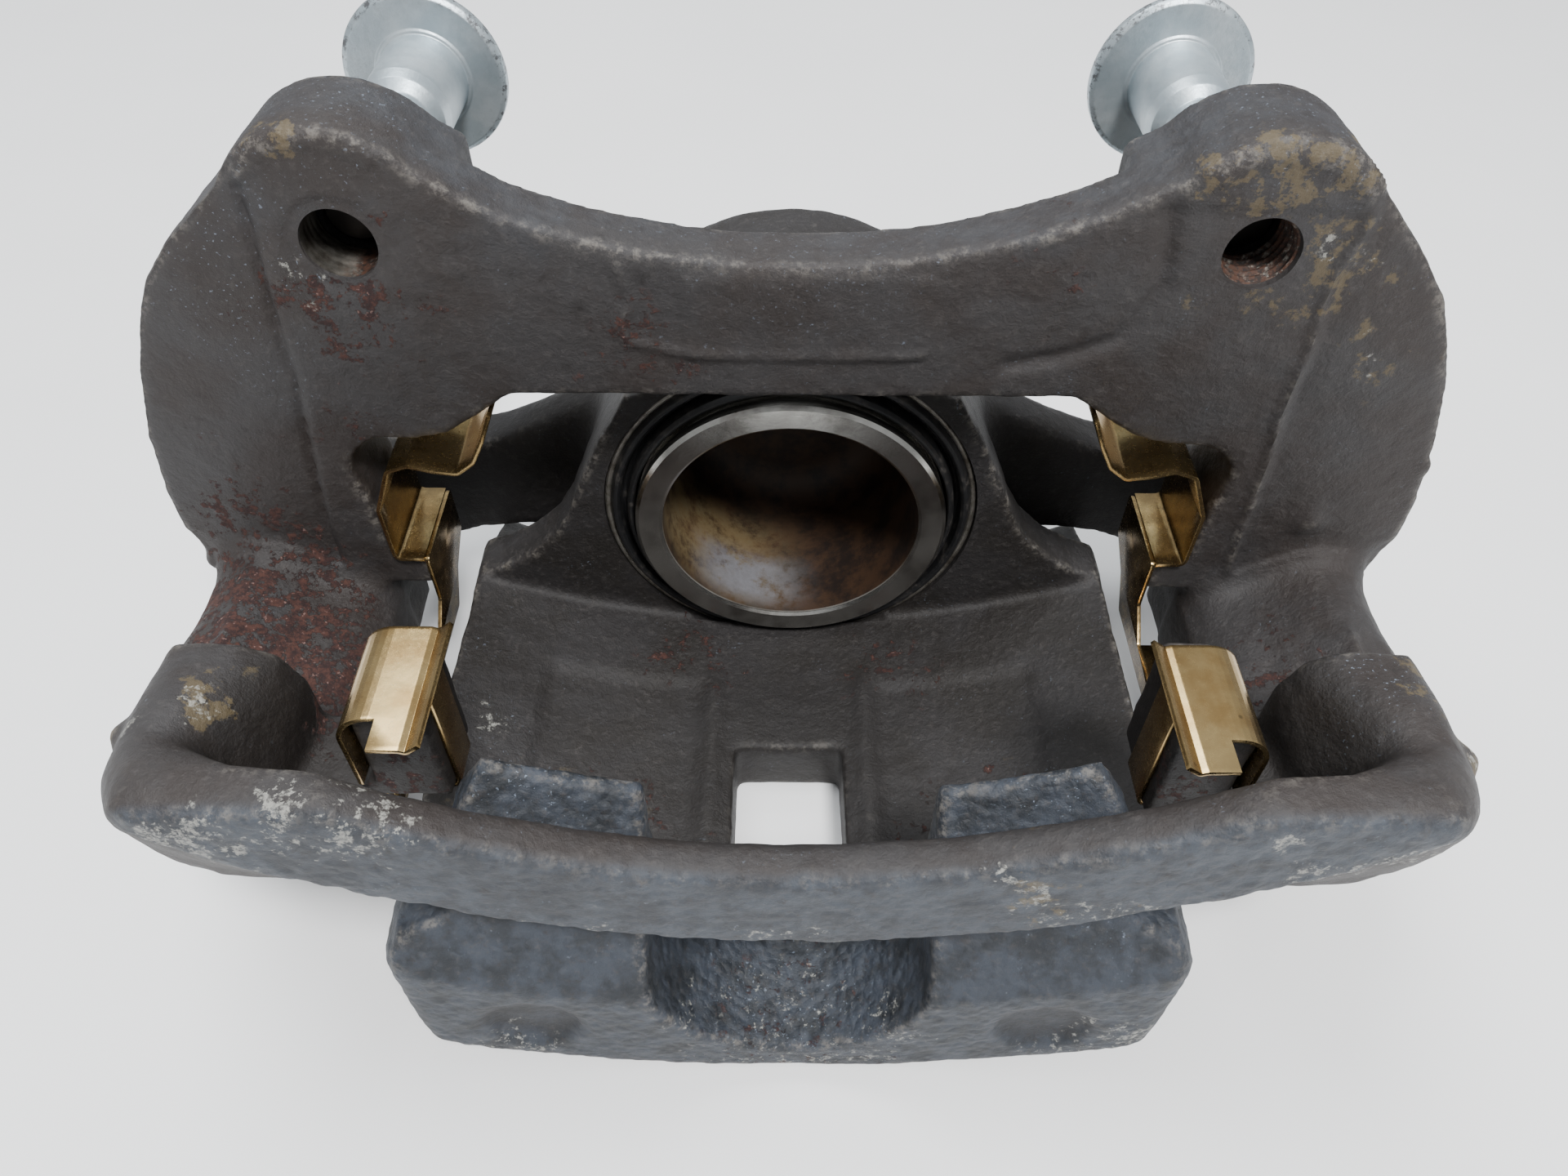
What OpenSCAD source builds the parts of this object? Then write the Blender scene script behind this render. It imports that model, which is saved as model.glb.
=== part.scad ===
// Single-piston floating brake caliper with its cast bracket, lying on its back.
// Frame: origin on the piston axis in the plane of the piston's rim.
// +X runs along the disc's edge, +Y points inboard (to the knuckle), +Z points to the wheel's centre.

/* [Wheel] */
// Height of the wheel's axis above the piston axis
wheel_z = 127; // [124:0.5:130]
// Radius that the disc's edge runs at, with its clearance
disc_r = 158.5; // [157:0.5:159]
// Radius of the outer envelope of the bridge and the arms
rim_r = 172.6; // [172:0.1:174]
// Height of the small flat under the bridge
floor_z = -45; // [-45.4:0.1:-44.8]

/* [Bracket] */
// Front plane of the inner frame
frame_front = -8; // [-9:0.5:-7]
// Back plane of the ears and cheeks
cheek_back = 9.5; // [9:0.5:11]
// Back plane of the thinner arch
arch_back = 2.5; // [1:0.5:4]
// Distance of the left and the right mounting thread from the piston axis
ear_x = [66.2, 67.6]; // [64:0.1:68]
// Height of the mounting threads
ear_z = 65; // [64:0.5:66]
// Radius of a mounting ear
ear_r = 17.5; // [16:0.5:18]
// Radius of the mounting threads
thread_r = 6; // [5:0.5:6]
// Height of the window under the arch
window_z = 38.3; // [38:0.1:40]
// Half the length of the pad slots, at their bottom
slot_x = 76.5; // [75:0.5:77]
// Half the distance between the lower slot tabs
tab_x = 68.5; // [68:0.1:69]
// Front plane of the tie bar
tie_front = -82; // [-83:0.5:-81]
// Thickness of the tie bar
tie_depth = 8; // [7:0.5:9]
// Inner and outer radius of the tie bar about the wheel's axis
tie_radii = [112.3, 131]; // [100:1:140]
// Back plane of the outer frame, beside the disc
outer_back = -47; // [-48:0.5:-46]

/* [Housing] */
// Half width of the bridge
bridge_x = 65; // [64:0.5:66]
// Front plane of the fingers
finger_front = -85; // [-86:0.5:-84.5]
// Plane of the fingers beside the pad
finger_back = -62; // [-63:0.5:-61]
// Outer radius of the cylinder
cylinder_r = 40; // [38:0.5:41]
// Front face of the cylinder
cylinder_front = 4.5; // [4:0.5:6]
// Back end of the cylinder
cylinder_back = 55; // [53:0.5:56]
// Half the width of the window in the bridge
sight_x = 10.5; // [8:0.5:12]
// Front end of that window
sight_front = -65; // [-70:0.5:-60]

/* [Piston] */
// Outer radius of the piston
piston_r = 30; // [27:0.5:30]
// Inner radius of the piston's cup
cup_r = 24.7; // [20:0.1:25]
// Length of the piston
piston_len = 44; // [40:1:44]
// Radial running clearance of the piston, the pins and the bleed screw
run_gap = 0.05; // [0.02:0.01:0.1]

/* [Guide pins] */
// Half the distance between the guide pins
pin_x = 86; // [85:0.5:87]
// Height of the guide pins
pin_z = -14.5; // [-15:0.5:-14]
// Radius of the guide pins
pin_r = 5; // [4.5:0.1:5]
// How far a guide pin reaches into its arm
pin_tip = -36; // [-38:1:-30]
// Front face of the housing's pin ears
lug_front = 21; // [20:0.5:22]
// Back face of the housing's pin ears
lug_back = 32; // [30:0.5:34]

/* [Pad clips] */
// Sheet thickness of the spring clips
sheet = 0.7; // [0.5:0.1:0.8]

/* [Mounting bolts] */
// Front face of the bolt's flange
flange_y = 48.5; // [44:0.5:50]
// Radius of the bolt's flange
flange_r = 14.5; // [13:0.5:15]
// Radius of the shoulder under the flange
shoulder_r = 8.2; // [7:0.1:9]

/* [Hidden] */
$fn = 96;
iron = "#3b3836";
steel = "#b9bfc2";
brass_tint = "#b99a5c";
rubber = "#1b1b1c";
far = 400;
hull_fn = 32;
tie_back = tie_front + tie_depth;
bore_r = piston_r + run_gap;
bolt_r = thread_r - run_gap;
bore_end = piston_len + 2;
seal_y = [12, 16.2];
seal_r = 33.2;
boot_r = 36.3;
boot_back = 9;
bleed_at = [21, -12];
inlet_at = [-21, -6];
port_back = 60;
post_x = [52.2, 63.6];
post_z = [1, 24.6];
post_front = -60.5;
// how far the right post and its saddle stand further out and further forward than the left
right_shift = [2.4, -2.5];

// Points along an arc in the plane of a profile.
function arc(c, r, a0, a1, n = 10) =
    [for (i = [0:n]) let(a = a0 + (a1 - a0) * i / n) c + r * [cos(a), sin(a)]];

// A flat profile drawn in X and Z, made solid between two Y planes.
module slab(front, back) {
    translate([0, back, 0]) rotate([90, 0, 0]) linear_extrude(back - front) children();
}

// A round bar along Y at [x, z].
module bar(at, r, front, back) {
    slab(front, back) translate(at) circle(r);
}

// A profile drawn in radius and Y, turned about an axis along Y at [x, z].
module turned(at = [0, 0]) {
    translate([at[0], 0, at[1]]) rotate([-90, 0, 0]) rotate_extrude() children();
}

// Both hands of a shape drawn for +X.
module both() {
    children();
    mirror([1, 0, 0]) children();
}

// The ring between two radii about the wheel's axis, as a profile.
module wheel_ring(r_in, r_out) {
    translate([0, wheel_z]) difference() {
        circle(r_out, $fn = 240);
        circle(r_in, $fn = 240);
    }
}

// ---------------------------------------------------------------- bracket

// One half of the inner frame, drawn for +X, without its window and slots.
module frame_outline(side) {
    ear = [ear_x[side], ear_z];
    polygon(concat(
        [[0, 30], [0, window_z + 24]],
        arc([0, window_z + 24 + 120], 120, 270, 291, 8),
        arc(ear, ear_r, 140, 30, 10),
        [[91.3, 65], [97.5, 58], [101.4, 51], [105.6, 41], [109.2, 29], [111.3, 17], [111.8, 7], [110.4, -3]],
        [[107, -12], [84, -28], [74, -28], [50, 10]]));
}

// The window under the arch and the slot that the pad's end slides in, drawn for +X.
module frame_window() {
    polygon(concat([[-1, -60], [-1, window_z], [46, window_z], [50.7, 34.8], [58, 29.8], [63, 28.6]],
        arc([68.6, 20.6], 7.8, 100, -20, 8),
        [[slot_x - 1.4, 13], [slot_x - 2, 0], [tab_x, 0], [tab_x, -7.6], [slot_x + 0.5, -7.6],
        [slot_x + 1, -21], [slot_x + 1, -60]]));
}

module frame_half(side) {
    difference() {
        frame_outline(side);
        frame_window();
    }
}

// One arm over the disc's edge, around its guide pin bore.
module arm_profile() {
    intersection() {
        wheel_ring(disc_r, rim_r);
        polygon([[slot_x, -60], [slot_x, 10], [96, 10], [99, 2], [106, -0.5], [109.5, -4.5], [107.5, -9], [106, -60]]);
    }
    translate([pin_x, pin_z]) circle(8.6);
}

// Section of the outer corner at its waist, scooped on its inner side.
module waist() {
    polygon([[77, -6], [77, 7], [82, 19], [83, 25], [85, 27], [90, 27], [95, 20], [97, 10], [92, -2]]);
}

// The corner that rises from an arm's end to the tie bar.
module outer_corner() {
    // its front points keep inside the tie bar's round outer face
    front_r = tie_radii[1] - 1.5;
    hull() {
        slab(outer_back - 5, outer_back)
            polygon([[74.5, -14], [74.5, 14], [77, 20], [82, 22.5], [92.5, 22.5], [96, 17], [104.5, -3], [102, -11]]);
        slab(-68, -62) waist();
    }
    hull() {
        slab(-71, -67) waist();
        slab(tie_front + 0.5, tie_front + 7) polygon(concat(
            [for (x = [68, 75, 82]) [x, wheel_z - sqrt(front_r * front_r - x * x)]],
            [[85.5, 29], [84, 31.3], [70, 31.3]]));
    }
}

// The post that locates one end of the outer pad, and the web that holds it.
module outer_post(shift) {
    web = 4;
    slab(post_front + shift[1], outer_back) translate([shift[0], 0]) {
        translate([post_x[0], post_z[0]]) square([post_x[1] - post_x[0], post_z[1] - post_z[0] - 5]);
        translate([post_x[0], post_z[1] - 8]) square([post_x[1] - post_x[0] - 5, 8]);
        translate([post_x[1] - 5, post_z[1] - 5]) circle(5);
        translate([post_x[1] - 6, post_z[0]]) square([24, web]);
    }
    slab(tie_back - 1, outer_back - 2) translate([66, post_z[0]]) square([18, web]);
    slab(tie_back - 1, tie_back + 5) polygon([[64, 4], [64, 14], [72, 18], [82, 22], [84, 4]]);
}

module tie_bar() {
    difference() {
        slab(tie_front, tie_back) intersection() {
            wheel_ring(tie_radii[0], tie_radii[1]);
            translate([-83, -30]) square([166, 61.3]);
        }
        // bevel along its inner edge, and relief that lets the fingers' slope pass under it
        turned([0, wheel_z]) polygon([[tie_radii[0] - 1, tie_back + 1], [tie_radii[0] + 3.5, tie_back + 1],
            [tie_radii[0] - 1, tie_back - 3.5]]);
        turned([0, wheel_z]) polygon([[tie_radii[1] - 4, tie_back + 1], [tie_radii[1] + 4, tie_back + 1],
            [tie_radii[1] + 4, tie_back - 6], [tie_radii[1] - 0.1, tie_back - 4.5]]);
    }
}

// Everything on one side of the bracket but the tie bar, drawn for +X.
module bracket_side(side) {
    slab(frame_front, arch_back) frame_half(side);
    slab(frame_front, cheek_back) intersection() {
        frame_half(side);
        translate([49, -40]) square([80, 130]);
    }
    bar([ear_x[side], ear_z], ear_r, frame_front, cheek_back);
    slab(outer_back - 7, frame_front + 4) arm_profile();
    bar([pin_x, pin_z], 9.2, frame_front, cheek_back + 2);
    outer_corner();
    outer_post(side * right_shift);
}

// Mounting thread with its mouths and the relief at the bolt's tip, and the guide pin's bore.
module bracket_bores(side) {
    at = [ear_x[side], ear_z];
    bar(at, thread_r, frame_front - 1, cheek_back + 1);
    turned(at) polygon([[0, frame_front - 1], [thread_r + 1.3, frame_front - 1],
        [thread_r + 0.3, frame_front], [thread_r - 1, frame_front + 1.3], [0, frame_front + 1.3]]);
    turned(at) polygon([[0, cheek_back + 1], [thread_r + 1.3, cheek_back + 1],
        [thread_r + 0.3, cheek_back], [thread_r - 1, cheek_back - 1.3], [0, cheek_back - 1.3]]);
    bar(at, thread_r + 0.6, 0.6, 1.6);
    bar([pin_x, pin_z], pin_r + run_gap, pin_tip - 8, cheek_back + 3);
}

module bracket() {
    color(iron) difference() {
        union() {
            mirror([1, 0, 0]) bracket_side(0);
            bracket_side(1);
            tie_bar();
        }
        mirror([1, 0, 0]) bracket_bores(0);
        bracket_bores(1);
    }
}

// ---------------------------------------------------------------- pad clips

// A ribbon of even thickness along points, as one closed outline with mitred bends.
function unit(v) = v / norm(v);
function turn_left(v) = [-v[1], v[0]];
function side_of(p, i) = turn_left(unit(p[i + 1] - p[i]));
function mitre(p, i) =
    let(last = len(p) - 1, a = side_of(p, max(i - 1, 0)), b = side_of(p, min(i, last - 1)))
    (a + b) / (1 + a * b);
function ribbon(p, t) = concat([for (i = [0:len(p) - 1]) p[i] + mitre(p, i) * t / 2],
    [for (i = [len(p) - 1:-1:0]) p[i] - mitre(p, i) * t / 2]);

module strip(points, front, back) {
    slab(front, back) polygon(ribbon(points, sheet));
}

// One spring clip: channel in the frame's slot, runner past the disc's edge, saddle on the outer post.
module pad_clip(shift) {
    gap = 0.05 + sheet / 2;
    inner_x = tab_x - gap;
    strip([[50.1, 34.6], [52.3, 29], [54.7, 24.4], [58, 21.8], [62.2, 22.4], [66.3, 23.6], [70.1, 22.2],
        [slot_x - 2.6, 13], [slot_x - 2.6, gap], [inner_x, gap]], frame_front - 1, cheek_back + 1);
    // wrap over the tab's end, tongue, and runner with its stiffening flange
    runner_end = -58 + shift[1];
    translate([inner_x - sheet / 2, 0, 0]) rotate([90, 0, 90]) linear_extrude(sheet)
        polygon([[frame_front - 1, gap + sheet / 2], [cheek_back + 1, gap + sheet / 2], [cheek_back + 1, -10], [3, -14],
            [-2, -20.2], [runner_end, -20.2], [runner_end, -15.8], [-15, -15.8], [frame_front - 1, -10.5]]);
    slab(runner_end + 2, -15) translate([inner_x, -15.8 - sheet]) square([3.4, sheet]);
    // riser under the outer post, its leg and the saddle
    x0 = post_x[0] - gap + shift[0];
    top = post_z[1] + gap;
    corner = [post_x[1] - 5 + shift[0], post_z[1] - 5];
    strip([[inner_x, -16], [inner_x - 0.8, -5], [62, post_z[0] - gap], [x0, post_z[0] - gap], [x0, top + 0.2]],
        runner_end, -51 + shift[1]);
    lip = [[x0 - 1.6, top + 1.1], [x0 - 0.5, top + 0.3], [x0 + 1, top]];
    strip(concat(lip, [[corner[0] - 1, top]], arc(corner, 5 + gap, 90, 0, 6), [[corner[0] + 5 + gap, 9]]),
        post_front - 2.4 + shift[1], outer_back + 0.8 + shift[1]);
    strip(concat(lip, [[x0 + 3.8, top]]), post_front - 7.6 + shift[1], outer_back + 0.8 + shift[1]);
}

// ---------------------------------------------------------------- housing

// Section of the bridge and the fingers, in radius about the wheel's axis and Y.
module bridge_section() {
    polygon([[disc_r, 8], [disc_r, finger_back + 4], [disc_r - 4, finger_back], [120, finger_back],
        [119.5, finger_back - 2.5], [147.7, finger_front], [rim_r, finger_front], [rim_r, 30],
        [166, 30], [160, 14]]);
}

// The outline that the bridge and the fingers keep to, seen along Y.
module bridge_outline() {
    side = [[bridge_x, -60], [bridge_x, -17], [57.8, -3.8], [50.4, -2.4], [50, 8], [46, 14.5], [40, 22]];
    polygon(concat(side, [for (i = [len(side) - 1:-1:0]) [-side[i][0], side[i][1]]]));
}

// The same body seen from above: it narrows to the fingers, with bevelled front corners.
module bridge_plan() {
    side = [[bridge_x, 40], [bridge_x, -48], [61.8, -58], [61.8, -81], [58, finger_front]];
    polygon(concat(side, [for (i = [len(side) - 1:-1:0]) [-side[i][0], side[i][1]]]));
}

module housing_body() {
    wall_side = [[30, 28.5], [35, 18.6], [39.5, 10], [43.7, 0], [47.2, -6.3], [53.4, -12.3], [60, -16.3],
        [bridge_x, -17.6], [bridge_x, -24], [10, floor_z + 3]];
    intersection() {
        translate([0, 0, -60]) linear_extrude(100) bridge_plan();
        turned([0, wheel_z]) bridge_section();
        slab(finger_front - 1, 31) bridge_outline();
        translate([-far / 2, -far / 2, floor_z]) cube(far);
    }
    // cylinder, with the flat that passes under the arch
    difference() {
        turned() polygon([[0, cylinder_front], [cylinder_r, cylinder_front], [cylinder_r, cylinder_back - 4],
            [cylinder_r - 4, cylinder_back], [0, cylinder_back]]);
        translate([-far / 2, -10, window_z - 1.8]) cube([far, 26, 20]);
    }
    // front wall, which widens from the cylinder to the bridge
    slab(cylinder_front, 15) intersection() {
        polygon(concat(wall_side, [for (i = [len(wall_side) - 1:-1:0]) [-wall_side[i][0], wall_side[i][1]]]));
        translate([0, wheel_z]) circle(rim_r, $fn = 240);
    }
    // arms and pin ears
    both() {
        slab(lug_front, lug_back) {
            polygon([[30, 20], [38, 15], [62, 3.5], [80, -4], [pin_x, pin_z], [80, -25], [66, -20.5], [34, -22]]);
            translate([pin_x, pin_z]) circle(11);
        }
    }
    // bosses of the bleed screw and the hose port, and the hydraulic back wall
    bar(bleed_at, 9, cylinder_back - 8, port_back);
    bar(inlet_at, 11, cylinder_back - 8, port_back);
}

module housing() {
    color(iron) difference() {
        housing_body();
        // piston bore with its seal groove and the seat of the dust boot
        bar([0, 0], bore_r, cylinder_front - 1, bore_end);
        bar([0, 0], seal_r + run_gap, seal_y[0], seal_y[1]);
        bar([0, 0], boot_r + run_gap, cylinder_front - 1, boot_back);
        // window in the bridge, and the round notch between the fingers
        slab(sight_front, -29) translate([-sight_x, -60]) square([2 * sight_x, 80]);
        slab(finger_front - 1, finger_back + 0.5) {
            translate([0, -15]) circle(21.8);
            translate([-21.8, -15]) square([43.6, 60]);
        }
        both() {
            // shallow round dimple low on the front face
            bar([41, -29], 7.2, finger_front - 1, finger_front + 1.2);
            // hole of the pin bolt
            bar([pin_x, pin_z], 4.3, lug_front - 1, lug_back + 1);
        }
        // bleed screw hole with its seat, and the hose port
        bar(bleed_at, 4, 50.5, port_back + 1);
        bar(bleed_at, 1.2, bore_end - 1, 51);
        bar(inlet_at, 5, 51, port_back + 1);
        bar(inlet_at, 1.5, bore_end - 1, 52);
        turned(inlet_at) polygon([[0, port_back + 1], [6.6, port_back + 1], [5.6, port_back], [4.6, port_back - 1],
            [0, port_back - 1]]);
    }
}

// ---------------------------------------------------------------- piston and its seals

module piston() {
    groove = [2.6, 5.4];
    color(steel) turned() polygon([[cup_r, 0], [piston_r - 0.6, 0], [piston_r, 0.6], [piston_r, groove[0]],
        [piston_r - 1.6, groove[0]], [piston_r - 1.6, groove[1]], [piston_r, groove[1]],
        [piston_r, piston_len - 1.5], [piston_r - 1.5, piston_len], [0, piston_len], [0, piston_len - 6],
        [cup_r - 5, piston_len - 6], [cup_r - 2, piston_len - 8], [cup_r, piston_len - 12], [cup_r, 0]]);
}

module piston_seal() {
    color(rubber) turned() translate([bore_r, seal_y[0] + 0.1])
        square([seal_r - bore_r, seal_y[1] - seal_y[0] - 0.2]);
}

module dust_boot() {
    color(rubber) turned() polygon([[boot_r, boot_back - 0.1], [33.9, boot_back - 0.1], [33.9, 6.6], [33, 6.2],
        [32.4, 8], [31.2, 8], [30.6, 5], [30.4, 2.8], [31.6, 2.8], [32, 5.6], [32.8, 4], [34.2, 3.8],
        [34.9, 6.3], [boot_r, 6.5]]);
}

module boot_set_ring() {
    color(steel) turned() translate([boot_r - 0.7, 5.6]) circle(0.65, $fn = 24);
}

// ---------------------------------------------------------------- guide pins

// A guide pin: plain shank, hexagon and the thread that its bolt screws into.
module guide_pin(side) {
    at = [side * pin_x, pin_z];
    neck = side > 0 ? 14 : 0;
    color(steel) difference() {
        union() {
            turned(at) polygon([[0, pin_tip + neck], [pin_r - 0.8, pin_tip + neck], [pin_r, pin_tip + neck + 0.8],
                [pin_r, lug_front - 4], [0, lug_front - 4]]);
            bar(at, 6.8, lug_front - 1, lug_front);
            slab(lug_front - 5, lug_front - 1) translate(at) circle(7.2, $fn = 6);
            if (neck > 0) bar(at, 3.4, pin_tip, pin_tip + neck);
        }
        bar(at, 4, -4, lug_front + 1);
    }
}

// Rubber sleeve on the tip of the right pin, which keeps it from rattling.
module pin_damper_bush() {
    color(rubber) slab(pin_tip + 0.5, pin_tip + 13.5) translate([pin_x, pin_z]) difference() {
        circle(pin_r - 0.05);
        circle(3.4);
    }
}

module pin_bolt(side) {
    at = [side * pin_x, pin_z];
    color(steel) union() {
        bar(at, 3.95, -2, lug_back + 2);
        bar(at, 8.5, lug_back, lug_back + 1.6);
        slab(lug_back + 1.6, lug_back + 7) translate(at) circle(7.5, $fn = 6);
    }
}

module pin_boot(side) {
    front = cheek_back + 2;
    color(rubber) turned([side * pin_x, pin_z]) polygon([[pin_r + 0.3, front], [8.5, front], [8.5, front + 1.2],
        [6.6, front + 1.5], [7.6, front + 2.3], [6.4, front + 3], [6.4, front + 4], [pin_r + 0.3, front + 4]]);
}

// ---------------------------------------------------------------- fasteners

// Flange bolt, screwed a little way into its ear from the back.
module mounting_bolt(side) {
    at = [side > 0 ? ear_x[1] : -ear_x[0], ear_z];
    color(steel) union() {
        turned(at) polygon([[0, 1.7], [bolt_r - 1.2, 1.7], [bolt_r, 2.9], [bolt_r, 30],
            [thread_r - 0.8, 30.5], [thread_r - 0.8, 31], [shoulder_r - 1, 32.8], [shoulder_r - 0.4, 35],
            [shoulder_r - 0.4, flange_y - 0.4], [shoulder_r, flange_y], [flange_r - 0.5, flange_y],
            [flange_r, flange_y + 0.7], [flange_r, flange_y + 2.4], [10, flange_y + 4.5], [0, flange_y + 4.5]]);
        slab(flange_y + 4, flange_y + 13) translate(at) circle(10.4, $fn = 6);
    }
}

module bleed_screw() {
    color(steel) union() {
        turned(bleed_at) polygon([[0, 51], [1.6, 51], [3.95, 54], [3.95, port_back + 1.5], [3.95, port_back + 7],
            [3.2, port_back + 8], [3.2, port_back + 10], [3.9, port_back + 11], [3.2, port_back + 14], [1.1, port_back + 14],
            [1.1, 56], [0, 56]]);
        slab(port_back + 1, port_back + 7) translate(bleed_at) difference() {
            circle(6.3, $fn = 6);
            circle(3);
        }
    }
}

module bleed_cap() {
    color(rubber) turned(bleed_at) polygon([[4, port_back + 8.2], [5.4, port_back + 8.2], [5.4, port_back + 16],
        [4.2, port_back + 18], [0, port_back + 18], [0, port_back + 15], [4, port_back + 15]]);
}

bracket();
color(brass_tint) mirror([1, 0, 0]) pad_clip([0, 0]);  // pad_clip_left
color(brass_tint) pad_clip(right_shift);  // pad_clip_right
mounting_bolt(-1);  // mounting_bolt_left
mounting_bolt(1);  // mounting_bolt_right
housing();
piston();
piston_seal();
dust_boot();
boot_set_ring();
guide_pin(-1);  // guide_pin_left
guide_pin(1);  // guide_pin_right
pin_damper_bush();
pin_bolt(-1);  // pin_bolt_left
pin_bolt(1);  // pin_bolt_right
pin_boot(-1);  // pin_boot_left
pin_boot(1);  // pin_boot_right
bleed_screw();
bleed_cap();
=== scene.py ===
import math
import bmesh
import bpy
import numpy as np
from mathutils import Matrix, Vector, noise


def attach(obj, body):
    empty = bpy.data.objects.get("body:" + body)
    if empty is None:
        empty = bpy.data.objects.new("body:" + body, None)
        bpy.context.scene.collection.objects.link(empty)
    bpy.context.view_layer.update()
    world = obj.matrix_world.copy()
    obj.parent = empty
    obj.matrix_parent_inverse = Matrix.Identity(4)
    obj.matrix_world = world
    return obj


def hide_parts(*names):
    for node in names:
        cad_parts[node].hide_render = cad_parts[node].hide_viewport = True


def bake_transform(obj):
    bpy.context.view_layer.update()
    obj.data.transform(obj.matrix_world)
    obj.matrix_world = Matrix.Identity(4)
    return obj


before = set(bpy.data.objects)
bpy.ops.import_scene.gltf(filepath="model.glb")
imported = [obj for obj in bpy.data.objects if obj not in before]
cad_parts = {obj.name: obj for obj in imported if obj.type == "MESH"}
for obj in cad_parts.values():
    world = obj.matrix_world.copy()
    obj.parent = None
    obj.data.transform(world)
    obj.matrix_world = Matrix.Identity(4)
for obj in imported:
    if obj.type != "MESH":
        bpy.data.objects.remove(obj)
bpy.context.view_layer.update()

MM = 0.001

# Places and sizes that the design fixes, in millimetres (the CAD's own frame). Left is -1, right is 1.
HAND = {-1: "left", 1: "right"}
EAR = {-1: (-66.2, 65.0), 1: (67.6, 65.0)}
PIN = {-1: (-86.0, -14.5), 1: (86.0, -14.5)}
BLEED = (21.0, -12.0)
PORT = (-21.0, -6.0)
WHEEL_Z = 127.0
FLOOR_Z = -45.0
FRAME_FACE = -8.0
CLIP_SHIFT = {-1: (0.0, 0.0), 1: (2.4, -2.5)}
SHEET = 0.7
PISTON_R = 30.0
BORE_R = 30.05
GROOVE_R = 33.25
BOOT_SEAT_R = 36.35
INSERT_R = 6.05
MOUNT_PITCH = 1.5
PIN_PITCH = 1.25


# ---------------------------------------------------------------- small geometry tools

def new_piece(name, verts_mm, faces):
    """A smooth-shaded mesh object from vertices in millimetres."""
    mesh = bpy.data.meshes.new(name)
    mesh.from_pydata([Vector(v) * MM for v in verts_mm], [], faces)
    mesh.validate()
    mesh.polygons.foreach_set("use_smooth", [True] * len(mesh.polygons))
    obj = bpy.data.objects.new(name, mesh)
    bpy.context.scene.collection.objects.link(obj)
    return obj


def apply_modifiers(obj):
    """Bakes the object's modifiers into its mesh."""
    graph = bpy.context.evaluated_depsgraph_get()
    mesh = bpy.data.meshes.new_from_object(obj.evaluated_get(graph), depsgraph=graph)
    obj.modifiers.clear()
    old = obj.data
    obj.data = mesh
    bpy.data.meshes.remove(old)
    return obj


def fillet(points, radius, steps=4, closed=False):
    """The same 2-D path with its corners rounded, by curves close to arcs of at most the given radius."""
    pts = [np.array(p, float) for p in points]
    count = len(pts)
    out = []
    for i, p in enumerate(pts):
        if not closed and i in (0, count - 1):
            out.append(p)
            continue
        a, b = pts[i - 1], pts[(i + 1) % count]
        u, v = a - p, b - p
        lu, lv = np.linalg.norm(u), np.linalg.norm(v)
        u, v = u / lu, v / lv
        angle = math.acos(max(-1.0, min(1.0, float(u @ v))))
        if angle > math.radians(176):
            out.append(p)
            continue
        reach = min(radius / math.tan(angle / 2), 0.45 * lu, 0.45 * lv)
        start, end = p + u * reach, p + v * reach
        for k in range(steps + 1):
            t = k / steps
            out.append((1 - t) ** 2 * start + 2 * t * (1 - t) * p + t ** 2 * end)
    return out


def revolve(name, outline, at=(0.0, 0.0), segs=96, closed=False, radius=0.0, warp=None):
    """A lathe body about an axis along Y at (x, z). The outline lists (radius, y) in millimetres, and
    its corners are rounded to the given radius. warp(angle, r, y) may return another distance from the
    axis, for hexagons and threads."""
    pts = fillet(outline, radius, closed=closed) if radius else [np.array(p, float) for p in outline]
    verts, rings, faces = [], [], []
    for r, y in pts:
        if r < 1e-6:
            rings.append([len(verts)])
            verts.append((at[0], y, at[1]))
            continue
        ring = []
        for k in range(segs):
            a = 2 * math.pi * k / segs
            rr = warp(a, r, y) if warp else r
            ring.append(len(verts))
            verts.append((at[0] + rr * math.cos(a), y, at[1] + rr * math.sin(a)))
        rings.append(ring)
    following = rings[1:] + rings[:1] if closed else rings[1:]
    for a, b in zip(rings, following):
        for k in range(segs):
            j = (k + 1) % segs
            if len(a) == 1 and len(b) == 1:
                continue
            if len(a) == 1:
                faces.append((a[0], b[k], b[j]))
            elif len(b) == 1:
                faces.append((a[k], b[0], a[j]))
            else:
                faces.append((a[k], b[k], b[j], a[j]))
    return face_outwards(new_piece(name, verts, faces))


def face_outwards(obj):
    """Makes every shell's normals point out."""
    bm = bmesh.new()
    bm.from_mesh(obj.data)
    bmesh.ops.recalc_face_normals(bm, faces=bm.faces)
    bm.to_mesh(obj.data)
    bm.free()
    return obj


def join(name, objects):
    """One object from several; each stays a closed shell."""
    with bpy.context.temp_override(active_object=objects[0], selected_editable_objects=objects,
                                   selected_objects=objects, object=objects[0]):
        bpy.ops.object.join()
    objects[0].name = name
    objects[0].data.name = name
    return objects[0]


def sharpen(obj, degrees=35):
    """Keeps edges sharper than an angle crisp in the shading."""
    limit = math.radians(degrees)
    bm = bmesh.new()
    bm.from_mesh(obj.data)
    for e in bm.edges:
        e.smooth = e.calc_face_angle(0) < limit
    bm.to_mesh(obj.data)
    bm.free()
    return obj


def combine(obj, tool, operation):
    """Changes the object by a boolean operation with the tool, and deletes the tool."""
    mod = obj.modifiers.new("combine", "BOOLEAN")
    mod.operation = operation
    mod.solver = "MANIFOLD"
    mod.object = tool
    apply_modifiers(obj)
    bpy.data.objects.remove(tool)


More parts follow.
